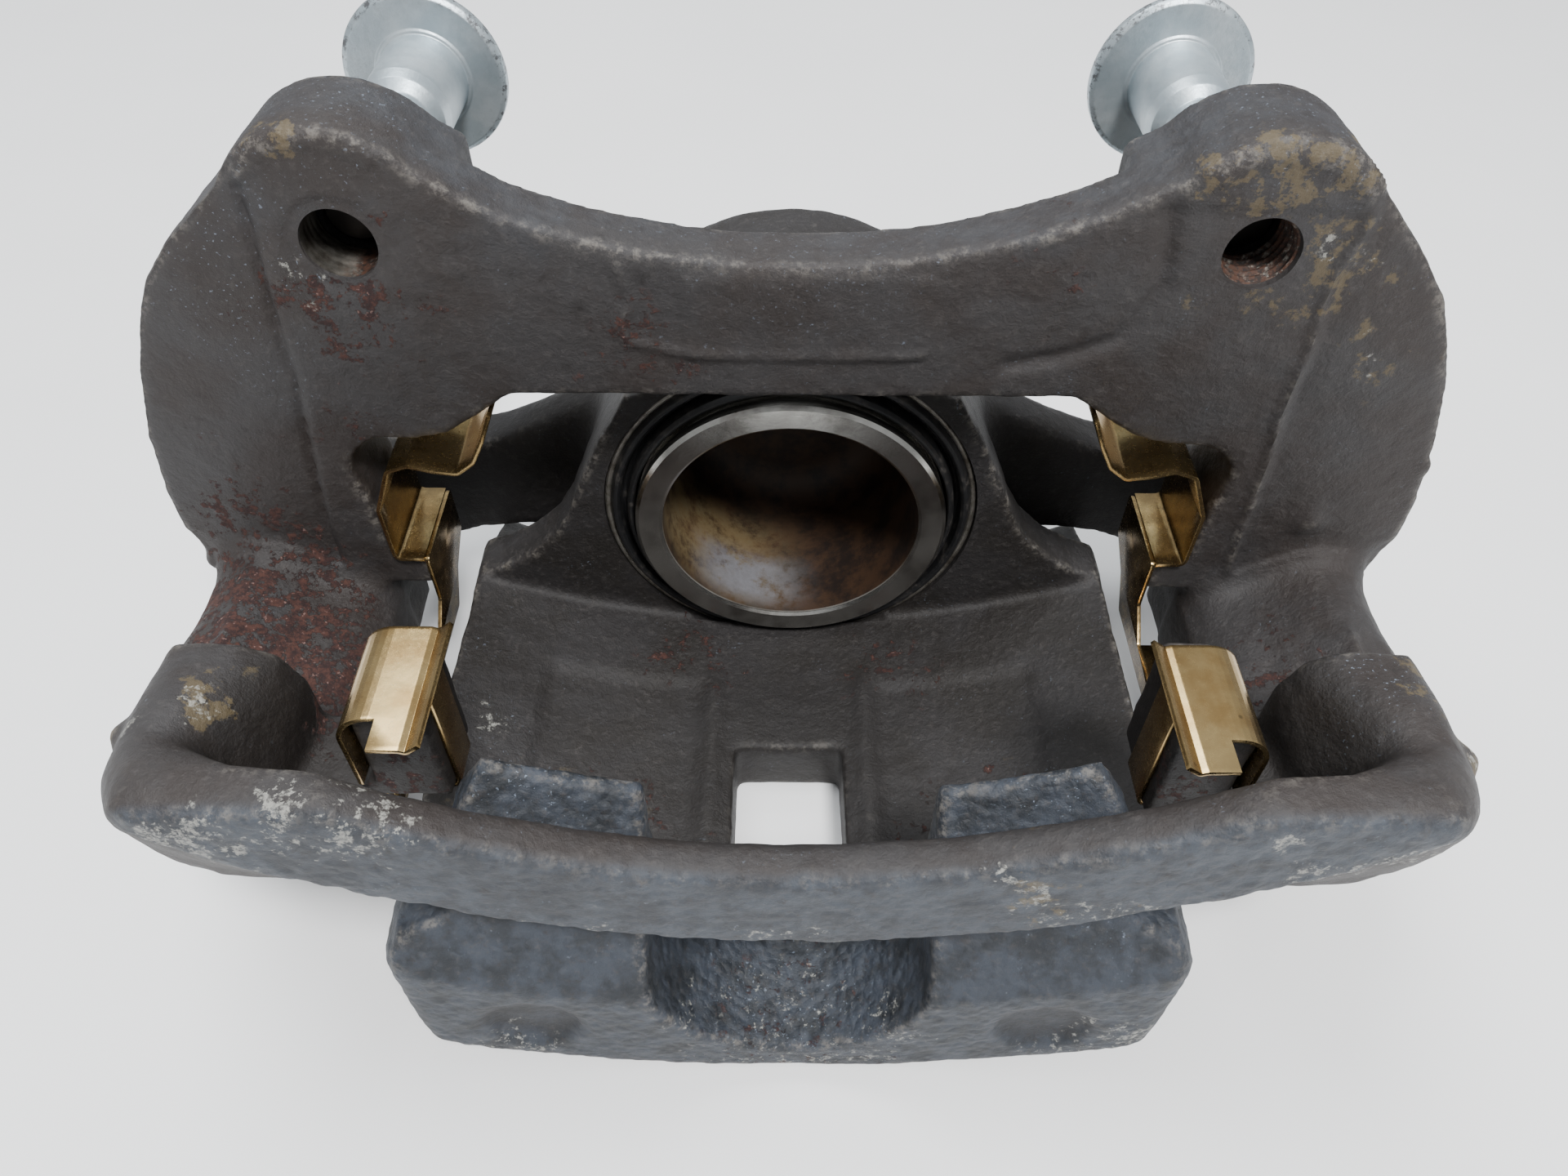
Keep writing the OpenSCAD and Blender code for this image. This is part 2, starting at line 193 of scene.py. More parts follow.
def smoothstep(lo, hi, v):
    """0 up to lo and 1 from hi on, or the other way round where lo is the larger."""
    t = np.clip((v - lo) / (hi - lo), 0, 1)
    return t * t * (3 - 2 * t)


def between(v, lo, hi, soft):
    """1 from lo to hi and 0 outside, with each step spread over twice the distance soft."""
    return smoothstep(lo - soft, lo + soft, v) * (1 - smoothstep(hi - soft, hi + soft, v))


class Skin:
    """A mesh's vertices as an array in millimetres, with tools that move and paint them."""

    def __init__(self, obj):
        self.obj = obj
        mesh = obj.data
        self.co = np.empty(len(mesh.vertices) * 3)
        mesh.vertices.foreach_get("co", self.co)
        self.co = self.co.reshape(-1, 3) / MM
        edges = np.empty(len(mesh.edges) * 2, int)
        mesh.edges.foreach_get("vertices", edges)
        edges = edges.reshape(-1, 2)
        self.a = np.concatenate([edges[:, 0], edges[:, 1]])
        self.b = np.concatenate([edges[:, 1], edges[:, 0]])
        self.count = np.maximum(np.bincount(self.a, minlength=len(self.co)), 1)[:, None]

    def mean(self, values):
        """Each vertex's average over its neighbours."""
        cols = [np.bincount(self.a, values[self.b, k], len(values)) for k in range(values.shape[1])]
        return np.stack(cols, 1) / self.count

    def relax(self, rounds, weight=None):
        """Laplacian smoothing; weight limits it to a region."""
        w = 0.5 if weight is None else 0.5 * weight[:, None]
        for _ in range(rounds):
            self.co += w * (self.mean(self.co) - self.co)

    def normals(self):
        self.store()
        n = np.empty(len(self.co) * 3)
        self.obj.data.vertices.foreach_get("normal", n)
        return n.reshape(-1, 3)

    def store(self):
        """Writes the places back to the mesh."""
        self.obj.data.vertices.foreach_set("co", (self.co * MM).ravel())
        self.obj.data.update()

    def push(self, heights):
        """Moves each vertex along its normal by a height in millimetres."""
        self.co += self.normals() * heights[:, None]
        self.store()

    def noise(self, size_mm, octaves, seed):
        """Smooth noise in about -1..1, with features of a given size."""
        pts = self.co * (1 / size_mm) + seed
        return np.array([noise.fractal(Vector(p), 0.9, 2.0, octaves) for p in pts])

    def near(self, x, y, z, r):
        """1 at a point, fading to 0 at a radius."""
        d = np.linalg.norm(self.co - np.array([x, y, z]), axis=1)
        return 1 - smoothstep(0.2 * r, r, d)

    def ragged(self):
        """Shifts places by noise, so that what is painted next has a ragged outline."""
        def shift(size, seed):
            return np.stack([self.noise(size, 3, seed + k) for k in (0.0, 7.7, 15.1)], 1)
        self.kept = self.co
        self.co = self.co + 7 * shift(14, 2.2) + 2.5 * shift(4, 5.5)

    def straight(self):
        """Ends what ragged() began."""
        self.co = self.kept

    def spots(self, *places):
        """The strongest of several (x, y, z, radius, amount) spots."""
        return np.max([amount * self.near(x, y, z, r) for x, y, z, r, amount in places], axis=0)

    def bump(self, x, y, z, r, height):
        """A nib of a given height where the surface comes nearest to a place."""
        at = self.co[np.argmin(np.linalg.norm(self.co - np.array([x, y, z]), axis=1))]
        d = np.linalg.norm(self.co - at, axis=1)
        self.push(height * np.exp(-(d / (0.62 * r)) ** 2))

    def line(self, path, width):
        """1 on a polyline of (x, z) points, fading away at about a width beside it."""
        p = self.co[:, [0, 2]]
        best = np.full(len(p), 1e9)
        for s, e in zip(path, path[1:]):
            s, e = np.array(s, float), np.array(e, float)
            t = np.clip(((p - s) @ (e - s)) / ((e - s) @ (e - s)), 0, 1)
            best = np.minimum(best, np.linalg.norm(p - (s + t[:, None] * (e - s)), axis=1))
        return np.exp(-(best / width) ** 2)

    def convexity(self, rounds=4):
        """Positive on outer edges, negative in corners."""
        n = self.normals()
        v = -((self.mean(self.co) - self.co) * n).sum(1)[:, None]
        for _ in range(rounds):
            v = self.mean(v)
        return v[:, 0]

    def paint(self, name, values):
        """Keeps values from 0 to 1 on the mesh, for a material to read."""
        layer = self.obj.data.attributes.new(name, "FLOAT", "POINT")
        layer.data.foreach_set("value", np.clip(values, 0, 1).astype(np.float32))


# ---------------------------------------------------------------- materials

class Look:
    """A material and short ways to add nodes to it."""

    def __init__(self, name, **sockets):
        self.mat = bpy.data.materials.new(name)
        self.mat.use_nodes = True
        self.tree = self.mat.node_tree
        self.shader = self.tree.nodes["Principled BSDF"]
        self.place = self.tree.nodes.new("ShaderNodeTexCoord").outputs["Object"]
        for socket, value in sockets.items():
            self.set(socket, value)

    def feed(self, socket, value):
        """Links a node's output to a socket, or gives the socket a plain value."""
        if hasattr(value, "is_output"):
            self.tree.links.new(value, socket)
        else:
            socket.default_value = value

    def set(self, socket, value):
        self.feed(self.shader.inputs[socket], value)

    def node(self, kind, inputs=(), **props):
        n = self.tree.nodes.new(kind)
        for k, v in props.items():
            setattr(n, k, v)
        for k, v in dict(inputs).items():
            self.feed(n.inputs[k], v)
        return n

    def noise(self, size_mm, detail, rough):
        n = self.node("ShaderNodeTexNoise", {"Vector": self.place, "Scale": 1 / (size_mm * MM),
                                             "Detail": detail, "Roughness": rough})
        return n.outputs["Fac"]

    def cells(self, size_mm):
        n = self.node("ShaderNodeTexVoronoi", {"Vector": self.place, "Scale": 1 / (size_mm * MM)})
        return n.outputs["Distance"]

    def attr(self, name):
        """A value that Skin.paint() kept."""
        return self.node("ShaderNodeAttribute", attribute_name=name).outputs["Fac"]

    def math(self, op, a, b, clamp=True):
        return self.node("ShaderNodeMath", {0: a, 1: b}, operation=op, use_clamp=clamp).outputs[0]

    def times(self, a, b):
        return self.math("MULTIPLY", a, b)

    def plus(self, a, b, clamp=True):
        return self.math("ADD", a, b, clamp)

    def ramp(self, value, lo, hi):
        """0 below lo, 1 above hi."""
        n = self.node("ShaderNodeMapRange", {"Value": value, "From Min": lo, "From Max": hi},
                      interpolation_type="SMOOTHSTEP")
        return n.outputs["Result"]

    def mix(self, fac, a, b):
        """The colour a where fac is 0, and b where it is 1."""
        return self.node("ShaderNodeMix", {"Factor": fac, 6: a, 7: b}, data_type="RGBA").outputs[2]

    def blend(self, fac, a, b):
        """The number a where fac is 0, and b where it is 1."""
        return self.node("ShaderNodeMix", {"Factor": fac, 2: a, 3: b}, data_type="FLOAT").outputs[0]

    def bump(self, height, depth_mm, strength):
        n = self.node("ShaderNodeBump", {"Height": height, "Distance": depth_mm * MM, "Strength": strength})
        self.set("Normal", n.outputs[0])


def rgb(r, g, b):
    """A colour given as it looks on a screen, 0 to 255."""
    return tuple(((c / 255) ** 2.2) for c in (r, g, b)) + (1.0,)


def patch(look, name, size_mm):
    """A painted region: its value is the share of it that the patch covers, in ragged flecks."""
    share = look.attr(name)
    grain = look.ramp(look.noise(size_mm, 6, 0.72), 0.34, 0.66)
    return look.ramp(look.plus(share, grain, clamp=False), 0.98, 1.22)


def iron_look(name, brown, slate, blue_dark, blue_light):
    """Cast iron with worn coating: brown and slate, bluer where it is painted so, with rust and scuffs."""
    look = Look(name, **{"Specular IOR Level": 0.42})
    tone = look.ramp(look.noise(20, 5, 0.62), 0.38, 0.62)
    colour = look.mix(tone, rgb(*brown), rgb(*slate))
    blue = look.mix(look.ramp(look.noise(5, 5, 0.65), 0.35, 0.65), rgb(*blue_dark), rgb(*blue_light))
    colour = look.mix(look.attr("blue"), colour, blue)
    fine = look.noise(1.2, 5, 0.75)
    colour = look.mix(look.times(look.ramp(fine, 0.5, 0.8), 0.55), colour, rgb(84, 80, 78))
    dark = look.times(look.ramp(look.noise(2.4, 5, 0.8), 0.55, 0.72), 0.7)
    colour = look.mix(dark, colour, rgb(24, 21, 20))
    # pale grains, thick in some places
    some = look.times(look.ramp(look.noise(8, 4, 0.7), 0.5, 0.68), 0.35)
    crowd = look.plus(some, look.attr("speck"))
    grains = look.times(look.ramp(look.noise(0.62, 3, 0.6), 0.63, 0.71), crowd)
    colour = look.mix(look.times(grains, 0.8), colour, rgb(138, 150, 166))
    wear = look.times(look.attr("edge"), look.ramp(look.noise(1.8, 5, 0.75), 0.46, 0.64))
    colour = look.mix(look.times(wear, 0.5), colour, rgb(118, 113, 106))
    # painted shade: darker where the shade attribute marks the corner pockets and the bridge's inside
    shade = look.times(look.attr("shade"), look.blend(look.noise(6, 5, 0.7), 0.75, 1.0))
    colour = look.mix(shade, colour, rgb(25, 22, 20))
    stain = patch(look, "stain", 4.2)
    colour = look.mix(look.times(stain, 0.55), colour, rgb(96, 84, 60))
    rust = patch(look, "rust", 2.3)
    mottle = look.ramp(look.noise(1.5, 5, 0.8), 0.4, 0.62)
    rust_colour = look.mix(mottle, rgb(42, 27, 26), rgb(72, 46, 39))
    rust_colour = look.mix(look.ramp(look.noise(0.8, 3, 0.6), 0.62, 0.70), rust_colour, rgb(112, 88, 82))
    colour = look.mix(look.times(rust, 0.9), colour, rust_colour)
    scuff = look.times(patch(look, "scuff", 1.5), look.ramp(look.noise(0.7, 4, 0.7), 0.35, 0.6))
    colour = look.mix(look.times(scuff, 0.75), colour, rgb(150, 149, 142))
    look.set("Base Color", colour)
    rough = look.blend(fine, 0.46, 0.72)
    look.set("Roughness", look.blend(rust, rough, 0.9))
    grain = look.plus(look.times(fine, 0.6), look.times(look.noise(2.8, 3, 0.5), 0.4))
    pits = look.times(look.attr("blue"), look.ramp(look.cells(1.9), 0.0, 0.75))
    height = look.plus(look.times(grain, 0.5), 0.3)
    height = look.math("SUBTRACT", height, look.times(pits, 0.28))
    look.bump(look.plus(height, look.times(rust, 0.12)), 1.1, 0.9)
    return look.mat


def clip_look():
    look = Look("clip_steel", **{"Metallic": 1.0})
    cloud = look.ramp(look.noise(9, 5, 0.6), 0.4, 0.66)
    colour = look.mix(cloud, rgb(190, 164, 116), rgb(168, 138, 92))
    lines = look.noise(0.5, 3, 0.6)
    # grime and painted shade: darker, in patches, low down and behind the frame's face
    grime_and_shade = look.times(look.attr("grime_and_shade"), look.ramp(look.noise(3.2, 6, 0.75), 0.3, 0.6))
    colour = look.mix(grime_and_shade, colour, rgb(78, 64, 48))
    specks = look.ramp(look.cells(4.2), 0.10, 0.05)
    colour = look.mix(look.times(specks, 0.5), colour, rgb(84, 72, 56))
    look.set("Base Color", colour)
    look.set("Roughness", look.blend(lines, 0.16, 0.34))
    look.bump(look.noise(7, 3, 0.5), 0.10, 0.5)
    return look.mat


def zinc_look():
    look = Look("zinc", **{"Metallic": 0.75})
    cloud = look.ramp(look.noise(7, 5, 0.6), 0.35, 0.7)
    colour = look.mix(cloud, rgb(168, 180, 186), rgb(190, 199, 203))
    # dark pitted grime on the flange's rim and the head
    grime_and_shade = look.times(look.attr("edge"), look.ramp(look.noise(1.3, 6, 0.8), 0.5, 0.6))
    colour = look.mix(look.times(grime_and_shade, 0.85), colour, rgb(84, 80, 80))
    spots = look.ramp(look.noise(1.8, 4, 0.7), 0.68, 0.74)
    colour = look.mix(look.times(spots, 0.4), colour, rgb(112, 116, 118))
    # painted shade: the shank's tip, deep in the ear's hole, near black
    colour = look.mix(look.attr("tip"), colour, rgb(26, 23, 21))
    look.set("Base Color", colour)
    look.set("Roughness", look.blend(look.noise(2, 4, 0.6), 0.34, 0.52))
    look.bump(look.noise(0.9, 4, 0.6), 0.08, 0.6)
    return look.mat


def piston_look():
    look = Look("piston_steel")
    turned = look.noise(0.5, 2, 0.5)
    bright = look.mix(look.ramp(look.noise(14, 4, 0.6), 0.4, 0.7), rgb(186, 184, 178), rgb(132, 128, 122))
    bright = look.mix(look.ramp(look.noise(2.2, 5, 0.8), 0.64, 0.7), bright, rgb(96, 90, 82))
    inside = look.attr("inside")
    brown = look.mix(look.ramp(look.noise(9, 6, 0.7), 0.4, 0.62), rgb(58, 42, 30), rgb(32, 24, 20))
    # whitish and ochre stains, partly painted light: they lie on the cup's lower left, where the light falls,
    # and the right stays dark
    ochre_and_light = look.times(look.attr("ochre_and_light"), look.ramp(look.noise(6, 6, 0.75), 0.3, 0.56))
    brown = look.mix(ochre_and_light, brown, look.mix(look.noise(3, 5, 0.7), rgb(104, 80, 46), rgb(92, 88, 70)))
    chalk_and_light = look.times(look.attr("chalk_and_light"), look.ramp(look.noise(5, 6, 0.7), 0.3, 0.55))
    brown = look.mix(chalk_and_light, brown, look.mix(look.noise(2, 5, 0.8), rgb(118, 118, 124), rgb(84, 82, 80)))
    look.set("Base Color", look.mix(inside, bright, brown))
    look.set("Metallic", look.blend(inside, 1.0, 0.05))
    look.set("Roughness", look.blend(inside, look.blend(turned, 0.16, 0.30), 0.6))
    look.bump(look.plus(look.times(turned, 0.3), look.noise(3, 4, 0.6)), 0.05, 0.4)
    return look.mat


def steel_look(name, light, dark):
    look = Look(name)
    colour = look.mix(look.ramp(look.noise(5, 5, 0.7), 0.4, 0.66), rgb(*light), rgb(*dark))
    colour = look.mix(look.ramp(look.noise(1.8, 5, 0.8), 0.62, 0.72), colour, rgb(88, 58, 42))
    rust = look.times(look.attr("rust"), look.ramp(look.noise(2.0, 5, 0.75), 0.3, 0.5))
    mottle = look.ramp(look.noise(0.9, 4, 0.7), 0.4, 0.6)
    colour = look.mix(rust, colour, look.mix(mottle, rgb(34, 26, 22), rgb(70, 46, 34)))
    look.set("Base Color", colour)
    look.set("Metallic", look.blend(rust, 0.9, 0.1))
    look.set("Roughness", look.blend(rust, look.blend(look.noise(1.5, 4, 0.7), 0.3, 0.55), 0.75))
    look.bump(look.noise(1.0, 4, 0.6), 0.06, 0.6)
    return look.mat


def rubber_look(name, shade):
    look = Look(name)
    dust = look.ramp(look.noise(3.0, 6, 0.75), 0.5, 0.72)
    colour = look.mix(look.times(dust, 0.45), rgb(shade, shade, shade + 1), rgb(84, 78, 72))
    look.set("Base Color", colour)
    look.set("Roughness", look.blend(dust, 0.48, 0.8))
    look.bump(look.noise(0.8, 4, 0.6), 0.1, 0.5)
    return look.mat


LOOKS = {
    "carrier_iron": iron_look("carrier_iron", (46, 41, 39), (51, 49, 49), (43, 46, 51), (60, 65, 72)),
    "housing_iron": iron_look("housing_iron", (35, 32, 30), (41, 39, 39), (33, 36, 40), (52, 57, 65)),
    "clip_steel": clip_look(),
    "zinc_bolt": zinc_look(),
    "piston_steel": piston_look(),
    "pin_steel": steel_look("pin_steel", (150, 146, 138), (98, 92, 84)),
    "boot_rubber": rubber_look("boot_rubber", 26),
    "seal_rubber": rubber_look("seal_rubber", 34),
}


def dress(obj, slot, body, *nodes):
    """Gives a piece the material that its slot names and its body, and hides the CAD nodes it stands for."""
    obj.data.materials.clear()
    obj.data.materials.append(LOOKS[slot])
    if body:
        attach(obj, body)
    if nodes:
        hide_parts(*nodes)
    return obj


# ---------------------------------------------------------------- castings

def cast_body(name, node, plugs, voxel_mm):
    """The CAD solid as one even mesh, with its machined bores filled for the moment."""
    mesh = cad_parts[node].data.copy()
    obj = bpy.data.objects.new(name, mesh)
    bpy.context.scene.collection.objects.link(obj)
    obj = join(name, [obj] + plugs)
    mod = obj.modifiers.new("even", "REMESH")
    mod.mode = "VOXEL"
    mod.voxel_size = voxel_mm * MM
    mod.use_smooth_shade = True
    return apply_modifiers(obj)


def rod(at, r, front, back, segs=48):
    """A plain cylinder between two Y planes, to fill or to cut a hole."""
    return revolve("rod", [(0, front), (r, front), (r, back), (0, back)], at, segs)


def sand_texture(skin):
    """The rough skin of a sand casting: long waves and small grains."""
    waves = 0.26 * skin.noise(16, 3, 3.1)
    grains = 0.09 * skin.noise(2.6, 2, 9.7)
    skin.push(waves + grains)


def rough_face(skin, height, where):
    """The coarser grain of the faces that look blue."""
    skin.push(height * skin.noise(1.7, 1, 5.3) * where)


def edge_paint(skin):
    """Marks the outer edges, where the coating is worn."""
    skin.paint("edge", smoothstep(0.012, 0.05, skin.convexity()))


def beyond(skin, path, soft, side):
    """1 on the outer side of a line down the frame's face, given as (x, z) points, with a soft step."""
    xs, zs = zip(*sorted(path, key=lambda point: point[1]))
    return smoothstep(-soft, soft, side * (skin.co[:, 0] - np.interp(skin.co[:, 2], zs, xs)))


def arc_path(side, r, start, end):
    """Points on a circle about an ear's hole, from one angle to another in degrees."""
    cx, cz = EAR[side]
    return [(cx + r * math.cos(math.radians(a)), cz + r * math.sin(math.radians(a)))
            for a in np.linspace(start, end, 12)]


def round_carrier(skin):
    """Rounds the CAD's edges as far as the casting's are, region by region."""
    x, y, z = skin.co.T
    side = np.abs(x)
    skin.relax(7)
    # the outer corners are much rounder than the inner frame, and the tie bar a little
    skin.relax(16, between(y, -90, -70, 3) * (1 - smoothstep(60, 76, side)))
    skin.relax(34, between(y, -90, -50, 3) * between(side, 74, 120, 4) * smoothstep(-12, 2, z))
    # fillet between the frame's front face and the arms
    skin.relax(150, between(y, -26, -7.2, 1.2) * between(z, -16, 4, 3) * between(side, 79, 115, 3))


def carrier_relief(skin):
    """Parting lines, seams, pads and nibs that the mould left on the frame's face and outline."""
    x, y, z = skin.co.T
    depth = y - FRAME_FACE
    face = smoothstep(1.0, 0.4, depth) * smoothstep(-0.8, -0.4, depth) * smoothstep(-30, 2, z)
    shape = np.zeros(len(x))
    # parting line down each cheek, the seams beside the ears, and a long ripple above the window
    left = [(-77.5, 74), (-78.3, 66), (-78.9, 61), (-79.5, 53), (-80.1, 40), (-81.5, 32), (-83.1, 21),
            (-84.5, 9), (-85.3, -4)]
    right = [(81.5, 71), (79.5, 60.6), (80.6, 47), (80.0, 37), (81.6, 26), (82.2, 7), (83.5, -8)]
    seam = [(52.8, 71), (54, 64), (54.5, 59), (50.4, 50), (42, 46.5), (34, 44.7)]
    ripple = [(-26, 62), (-24.6, 56.5), (-26.8, 52), (-25.6, 49), (-18, 47.0), (-8, 46.3), (6, 46.1),
              (20, 46.9)]
    left_arc, right_arc = arc_path(-1, 15.5, 60, 140), arc_path(1, 15.0, 40, 130)
    for path, height, width in ((left, -0.8, 0.7), (right, 0.75, 0.9), (seam, -0.9, 1.5), (ripple, 0.5, 0.9),
                                (left_arc, 0.35, 1.2), (right_arc, 0.5, 1.4)):
        shape += height * skin.line(path, width)
    # the cheeks lie a little lower outside their parting lines
    left_step = [(-85.3, -4), (-84.5, 9), (-81.5, 32), (-79.5, 53), (-77.5, 74)]
    right_step = [(83.5, -8), (81.6, 26), (80.6, 47), (79.5, 61), (81.5, 71)]
    shape -= 0.5 * beyond(skin, left_step, 0.8, -1) * (x < -60)
    shape -= 0.4 * beyond(skin, right_step, 0.8, 1) * (x > 60)
    # raised pad above the window, spot face round the left hole, nib and pads on the right cheek
    shape += 0.4 * between(x, -17, 21, 1.2) * between(z, 46.5, 61, 1.2)
    ring = np.hypot(x - EAR[-1][0], z - EAR[-1][1])
    shape -= 0.4 * (1 - smoothstep(7.1, 8.1, ring))
    shape += 0.9 * np.exp(-(((x - 94) ** 2 + (z - 11) ** 2) / 8.0))
    shape += 0.45 * between(x, 83, 104, 2.5) * between(z, 40, 60, 4)
    shape += 0.5 * between(x, 54, 82, 1.5) * between(z, 72, 80, 1.5)
    skin.push(shape * face)
    # nibs on the outline where the mould's gates were broken off
    for nib in ((-97.5, -61, 19, 3.6, 1.7), (96.5, -64, 19, 4.2, 1.9), (-112, -6, -3.5, 3.2, 1.4),
                (111, -6, 23.5, 2.8, 1.0), (112.5, -6, -9, 3.2, 1.0), (-76.4, -68.5, 22, 2.2, 1.2)):
        skin.bump(*nib)


def paint_carrier(skin):
    """Rust, scuffs, stains, grains and shade, at given places."""
    skin.ragged()
    skin.paint("rust", skin.spots(
        (-92, -30, 0, 30, 0.85), (-84, -44, 0, 20, 0.95), (-104, -18, 0, 18, 0.7),
        (-88, -12, 0, 16, 0.5), (-95, -8, 9, 16, 0.6), (-88, -8, 2, 12, 0.6), (-70, -8, 55, 11, 0.62),
        (-62, -8, 53, 9, 0.55), (-78, -8, 55, 8, 0.5), (-55.6, -8, 70.2, 4.5, 0.95),
        (-25, -8, 47, 12, 0.3), (56, -60, 10, 12, 0.5), (-56, -62, 8, 10, 0.5), (84, -30, 0, 18, 0.35),
        (-75, -8, 30, 14, 0.25), (90, -80, 28, 8, 0.3), (40, 0, 60, 16, 0.25), (-97, -8, 14, 14, 0.35)))
    skin.paint("scuff", skin.spots(
        (-62, -81, 30, 9, 0.75), (-66, -81, 27, 7, 0.7), (-78, -81, 24, 9, 0.75),
        (-55, -82, 25, 9, 0.4), (-70, -82, 12, 10, 0.3), (-94, -68, 24, 7, 0.5),
        (-82, -56, 25, 5, 0.5), (82, -81, 20, 9, 0.75), (88, -78, 22, 8, 0.7), (75, -82, 12, 12, 0.5),
        (61, -82, 26, 5, 0.7), (32, -83, 13, 9, 0.55), (41, -83, 9, 8, 0.4), (97, -66, 20, 8, 0.5),
        (-22, -83, 14, 4, 0.7), (-71, -8, 59.5, 5, 0.5), (-74, -8, 62, 4, 0.45),
        (-32, -83, -2, 10, 0.35), (0, -83, -4, 10, 0.35), (40, -83, 4, 12, 0.3), (92, -8, 47, 6, 0.35),
        (80.5, -8, 67, 5, 0.6)))
    skin.paint("stain", skin.spots(
        (72, -8, 79, 12, 0.7), (64, -8, 75, 9, 0.6), (79, -8, 66, 9, 0.6), (77, -8, 58, 10, 0.5),
        (66, -8, 55, 9, 0.35), (-70, -10, 82, 7, 0.6), (96, -62, 18, 16, 0.6), (100, -66, 12, 12, 0.6),
        (92, -8, 45, 12, 0.4), (36, -82, 12, 14, 0.4), (-100, -60, 14, 12, 0.4), (-82, -56, 24, 8, 0.7)))
    skin.paint("speck", 0.9 * skin.spots(
        (-84, -8, 62, 16, 0.8), (-90, -8, 50, 12, 0.6), (-74, -8, 62, 10, 0.7), (88, -55, 22, 14, 0.9),
        (82, -62, 18, 12, 0.8), (-87, -8, 43, 10, 0.4), (-68, 0, 82, 22, 0.6), (68, 0, 82, 22, 0.4),
        (0, 0, 62, 30, 0.3)))
    ragged_y = skin.co[:, 1]
    skin.straight()
    # painted shade on the corner pockets' inward-facing walls and their low parts, where the light from above
    # and in front does not reach
    inward = -skin.normals()[:, 0] * np.sign(skin.co[:, 0])
    pocket = between(skin.co[:, 1], -74, -44, 3) * (1 - smoothstep(78, 86, np.abs(skin.co[:, 0])))
    low = smoothstep(20, 14, skin.co[:, 2])
    skin.paint("shade", 0.8 * pocket * np.maximum(smoothstep(0.1, 0.6, inward), low))
    tie_bar = smoothstep(-79.5, -81.5, skin.co[:, 1])
    ear_tops = smoothstep(-8, 0, ragged_y) * smoothstep(55, 70, skin.co[:, 2])
    skin.paint("blue", 0.9 * tie_bar + 0.3 * ear_tops)


def carrier():
    """The bracket's casting, with the ears' holes bored last so that their edges are crisp."""
    plugs = [rod(at, 7.6, -7.9, 9.4) for at in EAR.values()]
    obj = cast_body("carrier_casting", "bracket", plugs, 0.7)
    skin = Skin(obj)
    round_carrier(skin)
    carrier_relief(skin)
    sand_texture(skin)
    rough_face(skin, 0.24, between(skin.co[:, 1], -90, -79, 1.5))
    edge_paint(skin)
    paint_carrier(skin)
    mouth = [(0, -10), (6.4, -10), (5.75, -8.4), (5.55, -6.9), (0, -6.9)]
    for at in EAR.values():
        combine(obj, rod(at, INSERT_R, -7.05, 14, 64), "DIFFERENCE")
        combine(obj, revolve("mouth", mouth, at, 64, radius=0.3), "DIFFERENCE")
    return dress(sharpen(obj, 50), "carrier_iron", "carrier", "bracket")


def shape_caliper(skin):
    """Rounds the CAD's edges as far as the casting's are, and adds the core's ribs and dimples."""
    x, y, z = skin.co.T
    side = np.abs(x)
    skin.relax(6)
    # the fingers' front corners and the back of the cylinder are rounder
    skin.relax(25, between(y, -95, -60, 4) * smoothstep(52, 62, side))
    skin.relax(50, between(y, 44, 62, 3))
    # the ears blend into the cylinder
    skin.relax(60, between(y, 18, 36, 3) * between(side, 34, 60, 6))
    x, y, z = skin.co.T
    side = np.abs(x)
    radius = np.hypot(x, z - WHEEL_Z)
    inner = between(radius, 150, 160.5, 1.0) * between(y, -58, 3, 2)
    shape = np.zeros(len(x))
    # ribs and hollows that the core left inside the bridge
    shape += 0.8 * inner * np.exp(-((side - 15) / 2.0) ** 2) * between(y, -60, -12, 4)
    shape -= 0.8 * inner * between(side, 18, 48, 2.0) * between(y, -56, -14, 2)
    skin.push(shape)
    sand_texture(skin)
    rough_face(skin, 0.22, between(skin.co[:, 1], -86.5, -62, 1.5) * smoothstep(-40, -36, skin.co[:, 2]))
    dimple = (1 - smoothstep(0.6, 1.0, np.hypot((side - 41) / 10.0, (z + 27) / 9.5))) * (y < -82)
    skin.push(-0.8 * dimple)
    return dimple


